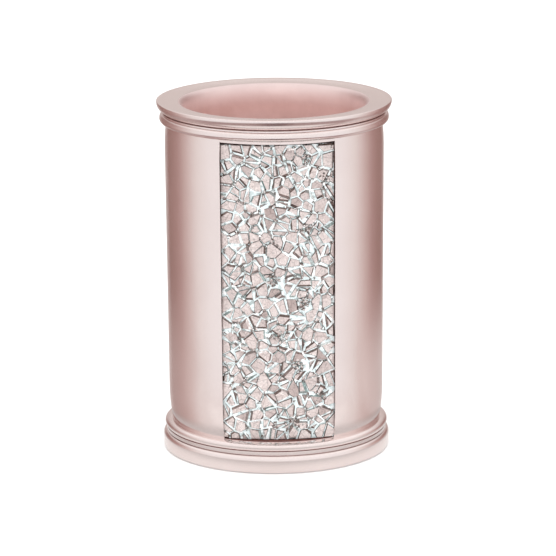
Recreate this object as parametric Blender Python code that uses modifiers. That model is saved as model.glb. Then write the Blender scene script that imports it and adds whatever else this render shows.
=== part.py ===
"""Bathroom tumbler: a cast resin cup with a moulded lip and foot and a glass mosaic panel.

The cup is one turned casting. A shallow bowed pocket is cut into its front, between the bead
under the lip and the bead above the foot. Crushed glass chips fill the pocket. They are laid in
patches of a few chips, each patch on its own piece of clear adhesive film. A foam pad sits in a
recess under the foot, and the tumbler stands on it.

Units are metres. +Z is up, the origin is under the middle of the foot at the height of the
surface that the tumbler stands on, and the mosaic faces -Y.
"""
import math
import random

import bmesh
import bpy
from mathutils import Vector
from mathutils.geometry import delaunay_2d_cdt

MM = 0.001

# Overall sizes
HEIGHT = 115.2 * MM
LIP_RADIUS = 38.0 * MM
TURNED_STEPS = 60

# How far each part of the outside stands back from the lip's edge
BODY_TOP_SET_BACK = 2.55 * MM
BODY_BOTTOM_SET_BACK = 3.15 * MM
FOOT_SET_BACK = 1.05 * MM
UPPER_BEAD_SET_BACK = 0.95 * MM
LOWER_BEAD_SET_BACK = 1.65 * MM

# Lip: a dished top, a crisp outer edge and a quarter round under it
LIP_DISH = 0.55 * MM
LIP_EDGE_ROUND = 0.3 * MM
LIP_OVOLO_RADIUS = 3.4 * MM
LIP_OVOLO_TURN = math.radians(66)
LIP_WIDTH = 9.5 * MM
MOUTH_ROUND = 2.2 * MM

# Thin square band between each bead and the lip or the foot
BAND_STEP = 0.3 * MM
UPPER_BAND_HEIGHT = 0.7 * MM
LOWER_BAND_HEIGHT = 1.3 * MM

# Bead under the lip
UPPER_BEAD_HEIGHT = 3.2 * MM
BODY_TOP_TUCK = 0.48 * MM
BODY_TOP_TUCK_HEIGHT = 8.0 * MM
BODY_TOP_TUCK_SHARES = (0.5, 1.0)

# Foot: a plain band with a rounded shoulder, and the bead above it
FOOT_BAND_HEIGHT = 5.2 * MM
FOOT_SHOULDER_HEIGHT = 1.6 * MM
FOOT_SHOULDER_DEPTH = 1.28 * MM
FOOT_DRAFT = 0.15 * MM
FOOT_EDGE_ROUND = 0.5 * MM
LOWER_BEAD_HEIGHT = 2.9 * MM
BODY_BOTTOM_TUCK = 0.85 * MM
BODY_BOTTOM_TUCK_HEIGHT = 11.0 * MM
BODY_BOTTOM_TUCK_SHARES = (1.0, 0.66, 0.33)

# Inside of the cup
FLOOR_THICKNESS = 5.0 * MM
INNER_DRAFT = 1.5 * MM
INNER_CORNER_ROUND = 4.0 * MM

# Foam pad under the foot
PAD_SET_BACK = 3.55 * MM
PAD_THICKNESS = 1.1 * MM
PAD_STAND_OFF = 0.4 * MM
PAD_CLEARANCE = 0.3 * MM
PAD_EDGE_ROUND = 0.25 * MM

# Mosaic panel: its width across the front, and how deep it lies at its middle and at its sides
PANEL_WIDTH = 37.0 * MM
PANEL_CENTRE_DEPTH = 4.01 * MM
PANEL_SIDE_DEPTH = 1.6 * MM
PANEL_CLEARANCE = 0.35 * MM
POCKET_LAND = 0.3 * MM
POCKET_FACETS = 12
CHIP_THICKNESS = 1.0 * MM
FILM_THICKNESS = 0.3 * MM
FILM_CLEARANCE = 0.25 * MM

# Layout of the chips
CHIP_COLUMNS = 10
CHIP_ROWS = 27
PATCH_COLUMNS = 2
PATCH_ROWS = 3
CHIP_SCATTER = 0.36
CHIP_STAGGER = 0.25
CHIP_SIDE_SHARE = 0.3
CHIP_JOINT = 0.45 * MM
PATCH_JOINT = 0.3 * MM
FILM_LAP = 0.08 * MM
CHIP_TILT = math.radians(3)
FLAT_ANGLE = math.radians(0.5)
CHIP_SEED = 7

# Radii that follow from the sizes above
BODY_TOP_RADIUS = LIP_RADIUS - BODY_TOP_SET_BACK
BODY_BOTTOM_RADIUS = LIP_RADIUS - BODY_BOTTOM_SET_BACK
FOOT_RADIUS = LIP_RADIUS - FOOT_SET_BACK
UPPER_BEAD_RADIUS = LIP_RADIUS - UPPER_BEAD_SET_BACK
LOWER_BEAD_RADIUS = LIP_RADIUS - LOWER_BEAD_SET_BACK
MOUTH_RADIUS = LIP_RADIUS - LIP_WIDTH
INNER_BOTTOM_RADIUS = MOUTH_RADIUS - INNER_DRAFT
PAD_RADIUS = FOOT_RADIUS - PAD_SET_BACK

# Heights that follow from the sizes above
FOOT_BOTTOM = PAD_STAND_OFF
PAD_RECESS_TOP = PAD_THICKNESS + PAD_CLEARANCE
FLOOR_TOP = PAD_RECESS_TOP + FLOOR_THICKNESS
FOOT_BAND_TOP = FOOT_BOTTOM + FOOT_BAND_HEIGHT
LOWER_BEAD_BOTTOM = FOOT_BAND_TOP + LOWER_BAND_HEIGHT
LOWER_BEAD_TOP = LOWER_BEAD_BOTTOM + LOWER_BEAD_HEIGHT
LIP_FACE_TOP = HEIGHT - LIP_EDGE_ROUND
LIP_BOTTOM = LIP_FACE_TOP - LIP_OVOLO_RADIUS * math.sin(LIP_OVOLO_TURN)
UPPER_BEAD_TOP = LIP_BOTTOM - UPPER_BAND_HEIGHT
UPPER_BEAD_BOTTOM = UPPER_BEAD_TOP - UPPER_BEAD_HEIGHT

# The pocket for the mosaic, and the panel that fills it
POCKET_BOTTOM = LOWER_BEAD_TOP - POCKET_LAND
POCKET_TOP = UPPER_BEAD_BOTTOM - POCKET_LAND
PANEL_BOTTOM = POCKET_BOTTOM + PANEL_CLEARANCE
PANEL_HEIGHT = POCKET_TOP - POCKET_BOTTOM - 2 * PANEL_CLEARANCE
HALF_CHORD = PANEL_WIDTH / 2
PANEL_FACE = BODY_TOP_RADIUS - PANEL_CENTRE_DEPTH
PANEL_BOW = PANEL_FACE - math.sqrt(BODY_TOP_RADIUS**2 - HALF_CHORD**2) + PANEL_SIDE_DEPTH
PANEL_BOW_RADIUS = (HALF_CHORD**2 + PANEL_BOW**2) / (2 * PANEL_BOW)
BOW_CENTRE = PANEL_BOW_RADIUS - PANEL_FACE
FILM_RADIUS = PANEL_BOW_RADIUS - CHIP_THICKNESS - FILM_THICKNESS
POCKET_RADIUS = FILM_RADIUS - FILM_CLEARANCE
PANEL_ARC = 2 * PANEL_BOW_RADIUS * math.asin(HALF_CHORD / PANEL_BOW_RADIUS)


def clear_scene():
    """Removes every object that the file opened with."""
    for thing in list(bpy.data.objects):
        bpy.data.objects.remove(thing, do_unlink=True)


def new_collection(name):
    """A collection linked under the scene."""
    collection = bpy.data.collections.new(name)
    bpy.context.scene.collection.children.link(collection)
    return collection


def principled(name, colour, roughness, metallic=0.0):
    """A Principled BSDF material."""
    material = bpy.data.materials.new(name)
    material.use_nodes = True
    shader = material.node_tree.nodes["Principled BSDF"]
    shader.inputs["Base Color"].default_value = (*colour, 1.0)
    shader.inputs["Roughness"].default_value = roughness
    shader.inputs["Metallic"].default_value = metallic
    return material


def new_object(name, shape, collection, material=None):
    """Makes an object from a bmesh, which it frees."""
    mesh = bpy.data.meshes.new(name)
    shape.to_mesh(mesh)
    shape.free()
    thing = bpy.data.objects.new(name, mesh)
    collection.objects.link(thing)
    if material:
        mesh.materials.append(material)
    return thing


def arc(centre, radii, start, end, steps):
    """Points (r, z) along an elliptical arc, both ends included. Angles are in radians."""
    points = []
    for step in range(steps + 1):
        angle = start + (end - start) * step / steps
        points.append((centre[0] + radii[0] * math.cos(angle), centre[1] + radii[1] * math.sin(angle)))
    return points


def body_radius(height):
    """Outer radius of the body between its two beads: a slight taper, tucked in at both ends."""
    share = (height - LOWER_BEAD_TOP) / (UPPER_BEAD_BOTTOM - LOWER_BEAD_TOP)
    radius = BODY_BOTTOM_RADIUS + (BODY_TOP_RADIUS - BODY_BOTTOM_RADIUS) * share
    into_top = max(0.0, 1 - (UPPER_BEAD_BOTTOM - height) / BODY_TOP_TUCK_HEIGHT)
    into_bottom = max(0.0, 1 - (height - LOWER_BEAD_TOP) / BODY_BOTTOM_TUCK_HEIGHT)
    return radius - BODY_TOP_TUCK * into_top**2 - BODY_BOTTOM_TUCK * into_bottom**2


def half_round(upper_radius, lower_radius, crest_radius, top, bottom, steps=3):
    """A bead's outer face, from its upper root over its crest to its lower root."""
    middle = (top + bottom) / 2
    half = (top - bottom) / 2
    upper = arc((upper_radius, middle), (crest_radius - upper_radius, half), math.pi / 2, 0, steps)
    lower = arc((lower_radius, middle), (crest_radius - lower_radius, half), 0, -math.pi / 2, steps)
    return upper + lower[1:]


def inner_profile():
    """From the middle of the cup's floor up the inner wall to the rounded mouth."""
    corner = (INNER_BOTTOM_RADIUS - INNER_CORNER_ROUND, FLOOR_TOP + INNER_CORNER_ROUND)
    mouth = (MOUTH_RADIUS + MOUTH_ROUND, HEIGHT - LIP_DISH - MOUTH_ROUND)
    points = [(0.0, FLOOR_TOP)]
    points += arc(corner, (INNER_CORNER_ROUND, INNER_CORNER_ROUND), -math.pi / 2, 0, 3)
    points += arc(mouth, (MOUTH_ROUND, MOUTH_ROUND), math.pi, math.pi / 2, 4)
    return points


def lip_profile():
    """The lip's outer edge, its quarter round and the thin band under it."""
    edge = (LIP_RADIUS - LIP_EDGE_ROUND, LIP_FACE_TOP)
    ovolo = (LIP_RADIUS - LIP_OVOLO_RADIUS, LIP_FACE_TOP)
    points = arc(edge, (LIP_EDGE_ROUND, LIP_EDGE_ROUND), math.pi / 2, 0, 2)
    points += arc(ovolo, (LIP_OVOLO_RADIUS, LIP_OVOLO_RADIUS), 0, -LIP_OVOLO_TURN, 4)[1:]
    root = points[-1][0]
    points.append((root + BAND_STEP, LIP_BOTTOM))
    points.append((root + BAND_STEP, UPPER_BEAD_TOP))
    return points


def body_profile():
    """The upper bead, the body and the lower bead."""
    upper_root = LIP_RADIUS - LIP_OVOLO_RADIUS * (1 - math.cos(LIP_OVOLO_TURN))
    points = half_round(upper_root, body_radius(UPPER_BEAD_BOTTOM), UPPER_BEAD_RADIUS,
                        UPPER_BEAD_TOP, UPPER_BEAD_BOTTOM)
    for share in BODY_TOP_TUCK_SHARES:
        height = UPPER_BEAD_BOTTOM - BODY_TOP_TUCK_HEIGHT * share
        points.append((body_radius(height), height))
    for share in BODY_BOTTOM_TUCK_SHARES:
        height = LOWER_BEAD_TOP + BODY_BOTTOM_TUCK_HEIGHT * share
        points.append((body_radius(height), height))
    lower_root = FOOT_RADIUS - FOOT_SHOULDER_DEPTH + BAND_STEP / 2
    points += half_round(body_radius(LOWER_BEAD_TOP), lower_root, LOWER_BEAD_RADIUS,
                         LOWER_BEAD_TOP, LOWER_BEAD_BOTTOM)
    return points


def foot_profile():
    """The thin band, the foot band with its shoulder, and the recess for the pad."""
    root = FOOT_RADIUS - FOOT_SHOULDER_DEPTH
    shoulder = (root, FOOT_BAND_TOP - FOOT_SHOULDER_HEIGHT)
    bottom = (FOOT_RADIUS - FOOT_DRAFT - FOOT_EDGE_ROUND, FOOT_BOTTOM + FOOT_EDGE_ROUND)
    recess = PAD_RADIUS + PAD_CLEARANCE
    points = [(root + BAND_STEP, LOWER_BEAD_BOTTOM), (root + BAND_STEP, FOOT_BAND_TOP)]
    points += arc(shoulder, (FOOT_RADIUS - root, FOOT_SHOULDER_HEIGHT), math.pi / 2, 0, 3)
    points += arc(bottom, (FOOT_EDGE_ROUND, FOOT_EDGE_ROUND), 0, -math.pi / 2, 2)
    points += [(recess, FOOT_BOTTOM), (recess, PAD_RECESS_TOP), (0.0, PAD_RECESS_TOP)]
    return points


def turned(name, profile, collection, material):
    """An object turned from a profile of (r, z) points with a Screw modifier."""
    shape = bmesh.new()
    verts = [shape.verts.new((radius, 0.0, height)) for radius, height in profile]
    for start, end in zip(verts, verts[1:]):
        shape.edges.new((start, end))
    thing = new_object(name, shape, collection, material)
    screw = thing.modifiers.new("Turn", "SCREW")
    screw.axis = "Z"
    screw.steps = TURNED_STEPS
    screw.render_steps = TURNED_STEPS
    screw.use_merge_vertices = True
    screw.merge_threshold = 0.00001
    screw.use_smooth_shade = True
    return thing


def on_bow(across, height, radius):
    """A point of the bowed panel: distance along the bow, height, and radius of the layer."""
    angle = across / PANEL_BOW_RADIUS
    return Vector((radius * math.sin(angle), BOW_CENTRE - radius * math.cos(angle), height))


def pocket_cutter(collection):
    """The solid cut out of the cup's front: a bowed floor with straight sides."""
    half_angle = math.asin((HALF_CHORD + PANEL_CLEARANCE) / POCKET_RADIUS)
    reach = 2 * LIP_RADIUS
    shape = bmesh.new()
    bmesh.ops.create_grid(shape, x_segments=POCKET_FACETS, y_segments=1, size=1.0)
    for vert in shape.verts:
        angle = half_angle * vert.co.x
        height = POCKET_BOTTOM if vert.co.y < 0 else POCKET_TOP
        vert.co = (POCKET_RADIUS * math.sin(angle), BOW_CENTRE - POCKET_RADIUS * math.cos(angle), height)
    grown = bmesh.ops.extrude_face_region(shape, geom=list(shape.faces))
    for item in grown["geom"]:
        if isinstance(item, bmesh.types.BMVert):
            item.co.y = -reach
    bmesh.ops.recalc_face_normals(shape, faces=list(shape.faces))
    cutter = new_object("pocket_cutter", shape, collection)
    cutter.hide_render = True
    cutter.display_type = "WIRE"
    return cutter


def build_cup(parts, cutters):
    """The cast cup with the pocket cut into its front."""
    material = principled("rose_metallic_resin", (0.78, 0.58, 0.53), 0.32, 0.75)
    profile = inner_profile() + lip_profile() + body_profile() + foot_profile()
    cup = turned("tumbler_body", profile, parts, material)
    cut = cup.modifiers.new("Pocket", "BOOLEAN")
    cut.operation = "DIFFERENCE"
    cut.object = pocket_cutter(cutters)
    return cup


def build_pad(parts):
    """The foam pad that the tumbler stands on."""
    material = principled("grey_foam", (0.30, 0.28, 0.28), 0.9)
    bpy.ops.mesh.primitive_cylinder_add(vertices=TURNED_STEPS, radius=PAD_RADIUS, depth=PAD_THICKNESS,
                                        location=(0, 0, PAD_THICKNESS / 2))
    pad = bpy.context.object
    pad.name = "base_pad"
    pad.data.materials.append(material)
    for collection in list(pad.users_collection):
        collection.objects.unlink(pad)
    parts.objects.link(pad)
    round_off = pad.modifiers.new("Edge", "BEVEL")
    round_off.width = PAD_EDGE_ROUND
    round_off.segments = 1
    pad.data.shade_smooth()
    pad.data.set_sharp_from_angle(angle=math.radians(40))
    return pad


def chip_seeds():
    """Middles of the chips on the flattened panel, with the patch that each one belongs to."""
    chance = random.Random(CHIP_SEED)
    column_pitch = PANEL_ARC / CHIP_COLUMNS
    row_pitch = PANEL_HEIGHT / CHIP_ROWS
    seeds = []
    for row in range(CHIP_ROWS):
        stagger = CHIP_STAGGER if row % 2 else -CHIP_STAGGER
        for column in range(CHIP_COLUMNS):
            across = column + 0.5 + stagger + chance.uniform(-CHIP_SCATTER, CHIP_SCATTER)
            up = row + 0.5 + chance.uniform(-CHIP_SCATTER, CHIP_SCATTER)
            across = min(max(across, CHIP_SIDE_SHARE), CHIP_COLUMNS - CHIP_SIDE_SHARE)
            place = Vector((across * column_pitch - PANEL_ARC / 2, PANEL_BOTTOM + up * row_pitch))
            seeds.append((place, (row // PATCH_ROWS, column // PATCH_COLUMNS)))
    return seeds


def clip(polygon, point, direction):
    """The part of a convex polygon that lies behind a line, seen along the line's direction."""
    kept = []
    for start, end in zip(polygon, polygon[1:] + polygon[:1]):
        start_side = (start - point).dot(direction)
        end_side = (end - point).dot(direction)
        if start_side <= 0:
            kept.append(start)
        if start_side * end_side < 0:
            kept.append(start.lerp(end, start_side / (start_side - end_side)))
    return kept


def cell(seeds, index, inset_to):
    """The cell around one seed. inset_to(patch) is how far its edge keeps back from a neighbour."""
    middle, _ = seeds[index]
    reach = 4 * max(PANEL_ARC / CHIP_COLUMNS, PANEL_HEIGHT / CHIP_ROWS)
    left, right = -PANEL_ARC / 2, PANEL_ARC / 2
    bottom, top = PANEL_BOTTOM, PANEL_BOTTOM + PANEL_HEIGHT
    polygon = [Vector(corner) for corner in ((left, bottom), (right, bottom), (right, top), (left, top))]
    for other, (place, patch) in enumerate(seeds):
        gap = place - middle
        if other == index or gap.length > reach:
            continue
        direction = gap.normalized()
        polygon = clip(polygon, (middle + place) / 2 - direction * inset_to(patch), direction)
    return polygon


def patch_outlines(seeds, patch):
    """Film outlines and chip outlines of one patch, on the flattened panel."""
    members = [index for index, (_, owner) in enumerate(seeds) if owner == patch]

    def film_inset(owner):
        return -FILM_LAP if owner == patch else PATCH_JOINT / 2

    def chip_inset(_):
        return CHIP_JOINT / 2

    films = [cell(seeds, index, film_inset) for index in members]
    chips = [cell(seeds, index, chip_inset) for index in members]
    return members, films, chips


def build_patch(name, seeds, patch, tilts, parts, material):
    """One patch of chips on its film: a flat plan, thickened, then laid on the panel's bow."""
    members, films, chips = patch_outlines(seeds, patch)
    points = []
    outlines = []
    for outline in films + chips:
        outlines.append(range(len(points), len(points) + len(outline)))
        points += outline
    plan = delaunay_2d_cdt(points, [], [list(loop) for loop in outlines], 1, 1e-7)
    corners, _, faces, _, _, sources = plan
    shape = bmesh.new()
    verts = [shape.verts.new((corner.x, corner.y, 0.0)) for corner in corners]
    for loop, source in zip(faces, sources):
        if source:
            face = shape.faces.new([verts[index] for index in loop])
            face.material_index = 1 if max(source) >= len(films) else 0
    loose = [vert for vert in shape.verts if not vert.link_faces]
    bmesh.ops.delete(shape, geom=loose, context="VERTS")
    bmesh.ops.dissolve_limit(shape, angle_limit=FLAT_ANGLE, verts=list(shape.verts),
                             edges=list(shape.edges), delimit={"MATERIAL"})
    chip_faces = [face for face in shape.faces if face.material_index == 1]
    for face in shape.faces:
        face.material_index = 0
    # the film's underside, then the chips' upper faces, each tilted a little on its own seed
    under = bmesh.ops.extrude_face_region(shape, geom=list(shape.faces))["geom"]
    for vert in under:
        if isinstance(vert, bmesh.types.BMVert):
            vert.co.z = -FILM_THICKNESS
    bmesh.ops.dissolve_faces(shape, faces=[face for face in under if isinstance(face, bmesh.types.BMFace)])
    raised = bmesh.ops.extrude_face_region(shape, geom=chip_faces)["geom"]
    bmesh.ops.delete(shape, geom=chip_faces, context="FACES")
    for vert in raised:
        if isinstance(vert, bmesh.types.BMVert):
            place = vert.co.xy
            owner = min(members, key=lambda index: (seeds[index][0] - place).length)
            vert.co.z = CHIP_THICKNESS + tilts[owner].dot(place - seeds[owner][0])
    bmesh.ops.recalc_face_normals(shape, faces=list(shape.faces))
    bmesh.ops.triangulate(shape, faces=list(shape.faces))
    for vert in shape.verts:
        vert.co = on_bow(vert.co.x, vert.co.y, FILM_RADIUS + FILM_THICKNESS + vert.co.z)
    return new_object(name, shape, parts, material)


def build_mosaic(parts):
    """All the patches of the panel, numbered from the bottom up and from left to right."""
    material = principled("mirrored_glass", (0.86, 0.78, 0.76), 0.08, 0.6)
    seeds = chip_seeds()
    chance = random.Random(CHIP_SEED + 1)
    slope = math.tan(CHIP_TILT)
    tilts = [Vector((chance.uniform(-slope, slope), chance.uniform(-slope, slope))) for _ in seeds]
    patches = sorted({patch for _, patch in seeds})
    for row, column in patches:
        name = f"mosaic_patch_{row + 1:02d}_{column + 1}"
        build_patch(name, seeds, (row, column), tilts, parts, material)


def main():
    clear_scene()
    parts = new_collection("bathroom_tumbler")
    cutters = new_collection("cutters")
    build_cup(parts, cutters)
    build_pad(parts)
    build_mosaic(parts)


main()
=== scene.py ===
"""Bathroom tumbler: a rose satin resin cup with a moulded lip and foot and a crushed mirror panel.

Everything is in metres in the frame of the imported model. The mosaic faces -Y and the tumbler stands
on z = 0. The cup, the chips, their setting bed and the foam pad are modelled here in full detail and
stand for the simpler CAD nodes.
"""
import logging
import math
import random
from dataclasses import dataclass
from enum import Enum
from typing import Callable, Protocol, Sequence

import bmesh
import bpy
from mathutils import Matrix, Vector


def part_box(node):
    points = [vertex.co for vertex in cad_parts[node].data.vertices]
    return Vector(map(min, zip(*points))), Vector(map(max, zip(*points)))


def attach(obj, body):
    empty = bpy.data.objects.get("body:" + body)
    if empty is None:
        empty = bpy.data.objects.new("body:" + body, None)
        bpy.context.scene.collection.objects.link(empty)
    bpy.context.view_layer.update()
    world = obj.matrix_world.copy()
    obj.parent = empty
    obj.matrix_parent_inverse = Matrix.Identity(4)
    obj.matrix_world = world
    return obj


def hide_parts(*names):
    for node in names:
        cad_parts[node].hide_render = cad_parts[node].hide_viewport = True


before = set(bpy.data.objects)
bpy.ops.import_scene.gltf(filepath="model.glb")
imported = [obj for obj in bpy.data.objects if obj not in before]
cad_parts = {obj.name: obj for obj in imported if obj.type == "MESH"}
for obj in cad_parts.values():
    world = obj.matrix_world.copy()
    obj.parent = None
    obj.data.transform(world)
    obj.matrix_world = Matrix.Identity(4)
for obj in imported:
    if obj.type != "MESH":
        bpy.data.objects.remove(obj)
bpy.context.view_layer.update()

MM = 0.001
ROOT = "root"
WELD = 0.002 * MM
LOG = logging.getLogger("tumbler")

Pair = tuple[float, float]
Place = tuple[float, float, float]
Colour = tuple[float, float, float]
Thing = bpy.types.Object
Face = bmesh.types.BMFace
Edge = bmesh.types.BMEdge
Material = bpy.types.Material
Socket = bpy.types.NodeSocket
Stops = Sequence[tuple[float, Colour]]

BLACK: Colour = (0.0, 0.0, 0.0)
WHITE: Colour = (1.0, 1.0, 1.0)


class Slot(Enum):
    """The record's material slots."""

    RESIN = "rose_resin"
    GLASS = "mirror_chips"
    FOAM = "foam_pad"


class Part(Enum):
    """The parts of a mesh that are picked out in edit mode."""

    FACES = "FACE"
    EDGES = "EDGE"


class Finish(Protocol):
    """Anything that makes a material."""

    def make(self) -> Material:
        """Builds the material."""


# --------------------------------------------------------------------------- bench work


def clear_selection() -> None:
    """Leaves edit mode and deselects every object."""
    if bpy.context.mode != "OBJECT":
        bpy.ops.object.mode_set(mode="OBJECT")
    bpy.ops.object.select_all(action="DESELECT")


def choose(thing: Thing) -> None:
    """Makes a piece the active object and the only selected one.

    Args:
        thing: The piece.
    """
    clear_selection()
    thing.select_set(True)
    bpy.context.view_layer.objects.active = thing


def edit(thing: Thing) -> None:
    """Opens one object in edit mode with nothing selected in its mesh.

    Args:
        thing: The mesh object to open.
    """
    choose(thing)
    bpy.ops.object.mode_set(mode="EDIT")
    bpy.ops.mesh.select_mode(type="VERT")
    bpy.ops.mesh.select_all(action="DESELECT")


def close_edit() -> None:
    """Goes back to object mode."""
    bpy.ops.object.mode_set(mode="OBJECT")


def pick(thing: Thing, part: Part, wanted: Callable[..., bool]) -> int:
    """Selects the faces or edges of the open mesh that pass a test, and no others.

    Args:
        thing: The object open in edit mode.
        part: Whether faces or edges are picked.
        wanted: Says of a face or edge whether it is to be selected.

    Returns:
        How many were selected.
    """
    bpy.ops.mesh.select_mode(type=part.value)
    mesh = bmesh.from_edit_mesh(thing.data)
    parts = mesh.faces if part is Part.FACES else mesh.edges
    for item in parts:
        item.select_set(False)
    picked = [item for item in parts if wanted(item)]
    for item in picked:
        item.select_set(True)
    bmesh.update_edit_mesh(thing.data)
    return len(picked)


def add_to_scene(name: str, data: bpy.types.ID) -> Thing:
    """Makes an object of a mesh, a lamp or a camera.

    Args:
        name: The name of the new object.
        data: What it holds.

    Returns:
        The object.
    """
    thing = bpy.data.objects.new(name, data)
    bpy.context.scene.collection.objects.link(thing)
    return thing


def sweep(line: Sequence[Place], name: str, steps: int, angle: float, centre: Place = (0, 0, 0)) -> Thing:
    """Draws a line by extruding one vertex from point to point, and spins it about an upright axis.

    Args:
        line: Where the line goes.
        name: The name of the new object.
        steps: How many columns of faces the spin makes.
        angle: How far it turns, in radians.
        centre: A point of the axis.

    Returns:
        The object, open in edit mode with everything selected.
    """
    clear_selection()
    bpy.ops.mesh.primitive_plane_add(size=MM, location=(0, 0, 0))
    thing = bpy.context.object
    thing.name = name
    bpy.ops.object.mode_set(mode="EDIT")
    bpy.ops.mesh.select_mode(type="VERT")
    bpy.ops.mesh.select_all(action="SELECT")
    bpy.ops.mesh.merge(type="CENTER")
    bpy.ops.transform.translate(value=line[0])
    for here, there in zip(line, line[1:]):
        step = tuple(b - a for a, b in zip(here, there))
        bpy.ops.mesh.extrude_region_move(TRANSFORM_OT_translate={"value": step})
    bpy.ops.mesh.select_all(action="SELECT")
    bpy.ops.mesh.spin(steps=steps, angle=angle, center=centre, axis=(0, 0, 1))
    bpy.ops.mesh.select_all(action="SELECT")
    bpy.ops.mesh.remove_doubles(threshold=WELD)
    return thing


def arc(centre: Pair, radii: Pair, start: float, end: float, steps: int) -> list[Pair]:
    """Points along an elliptical arc, both ends included.

    Args:
        centre: Its middle.
        radii: Its two radii.
        start: The first angle, in radians.
        end: The last angle, in radians.
        steps: How many chords it has.

    Returns:
        The points (r, z).
    """
    points = []
    for step in range(steps + 1):
        angle = start + (end - start) * step / steps
        points.append((centre[0] + radii[0] * math.cos(angle), centre[1] + radii[1] * math.sin(angle)))
    return points


def smooth(thing: Thing, angle: float) -> None:
    """Shades a finished piece smooth, with creases sharper than an angle left sharp.

    Args:
        thing: The piece.
        angle: The crease angle, in degrees.
    """
    choose(thing)
    bpy.ops.object.shade_smooth_by_angle(angle=math.radians(angle), keep_sharp_edges=False)
    thing.select_set(False)


def dress(thing: Thing, *finishes: Finish) -> None:
    """Gives a piece its materials.

    Args:
        thing: The piece.
        finishes: What it is finished in, in the order of its faces' numbers.
    """
    for finish in finishes:
        thing.data.materials.append(finish.make())


def hand_over(thing: Thing, slot: Slot, *nodes: str) -> None:
    """Fixes a finished piece to the tumbler in place of CAD nodes.

    Args:
        thing: The piece.
        slot: Not used.
        nodes: The CAD nodes that it stands for.
    """
    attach(thing, ROOT)
    if nodes:
        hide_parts(*nodes)
    LOG.info("%s: %d faces in place of %d nodes", thing.name, len(thing.data.polygons), len(nodes))


# --------------------------------------------------------------------------- finishes


class NodeBoard:
    """A node tree, with short ways to add and join its nodes."""

    def __init__(self, tree: bpy.types.NodeTree) -> None:
        """Takes charge of a tree."""
        self.tree = tree

    def add(self, kind: str, **values: float) -> bpy.types.Node:
        """Adds a node.

        Args:
            kind: Its type, without the ShaderNode in front.
            values: Values for its input sockets, with _ for each space of a socket's name.

        Returns:
            The node.
        """
        node = self.tree.nodes.new(f"ShaderNode{kind}")
        for key, value in values.items():
            node.inputs[key.replace("_", " ")].default_value = value
        return node

    def link(self, out: Socket, into: Socket) -> None:
        """Joins two sockets."""
        self.tree.links.new(out, into)

    def math(self, kind: str, first: Socket | float, second: Socket | float) -> Socket:
        """Works on two values.

        Args:
            kind: The operation.
            first: The first value.
            second: The second value.

        Returns:
            The result.
        """
        node = self.add("Math")
        node.operation = kind
        for value, socket in ((first, node.inputs[0]), (second, node.inputs[1])):
            if isinstance(value, float):
                socket.default_value = value
            else:
                self.link(value, socket)
        return node.outputs[0]

    def ramp(self, source: Socket, stops: Stops) -> Socket:
        """A colour ramp.

        Args:
            source: What drives it.
            stops: Position and colour of each stop.

        Returns:
            The colour output.
        """
        node = self.add("ValToRGB")
        band = node.color_ramp
        while len(band.elements) < len(stops):
            band.elements.new(0.5)
        for element, (position, colour) in zip(band.elements, stops):
            element.position = position
            element.color = (*colour, 1.0)
        self.link(source, node.inputs["Fac"])
        return node.outputs["Color"]

    def spread(self, source: Socket, low: float, high: float, start: float = 0.3, end: float = 0.7,
               course: str = "LINEAR") -> Socket:
        """A grey value mapped from one range to another.

        Args:
            source: The value.
            low: What start becomes.
            high: What end becomes.
            start: The lower end of the source's range.
            end: The upper end of the source's range.
            course: How it runs from one to the other.

        Returns:
            The mapped value.
        """
        node = self.add("MapRange", From_Min=start, From_Max=end, To_Min=low, To_Max=high)
        node.interpolation_type = course
        self.link(source, node.inputs["Value"])
        return node.outputs["Result"]

    def mix(self, share: Socket, first: Socket, second: Socket | Colour, blend: str = "MIX") -> Socket:
        """Mixes two colours.

        Args:
            share: How much of the second.
            first: The first colour.
            second: The second colour.
            blend: The blend type.

        Returns:
            The mixed colour.
        """
        node = self.add("Mix")
        node.data_type = "RGBA"
        node.blend_type = blend
        self.link(share, node.inputs[0])
        self.link(first, node.inputs[6])
        if isinstance(second, tuple):
            node.inputs[7].default_value = (*second, 1.0)
        else:
            self.link(second, node.inputs[7])
        return node.outputs[2]

    def axes(self, place: Socket) -> tuple[Socket, Socket, Socket]:
        """Takes coordinates apart.

        Args:
            place: The coordinates.

        Returns:
            Their X, Y and Z.
        """
        node = self.add("SeparateXYZ")
        self.link(place, node.inputs["Vector"])
        return tuple(node.outputs)


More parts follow.
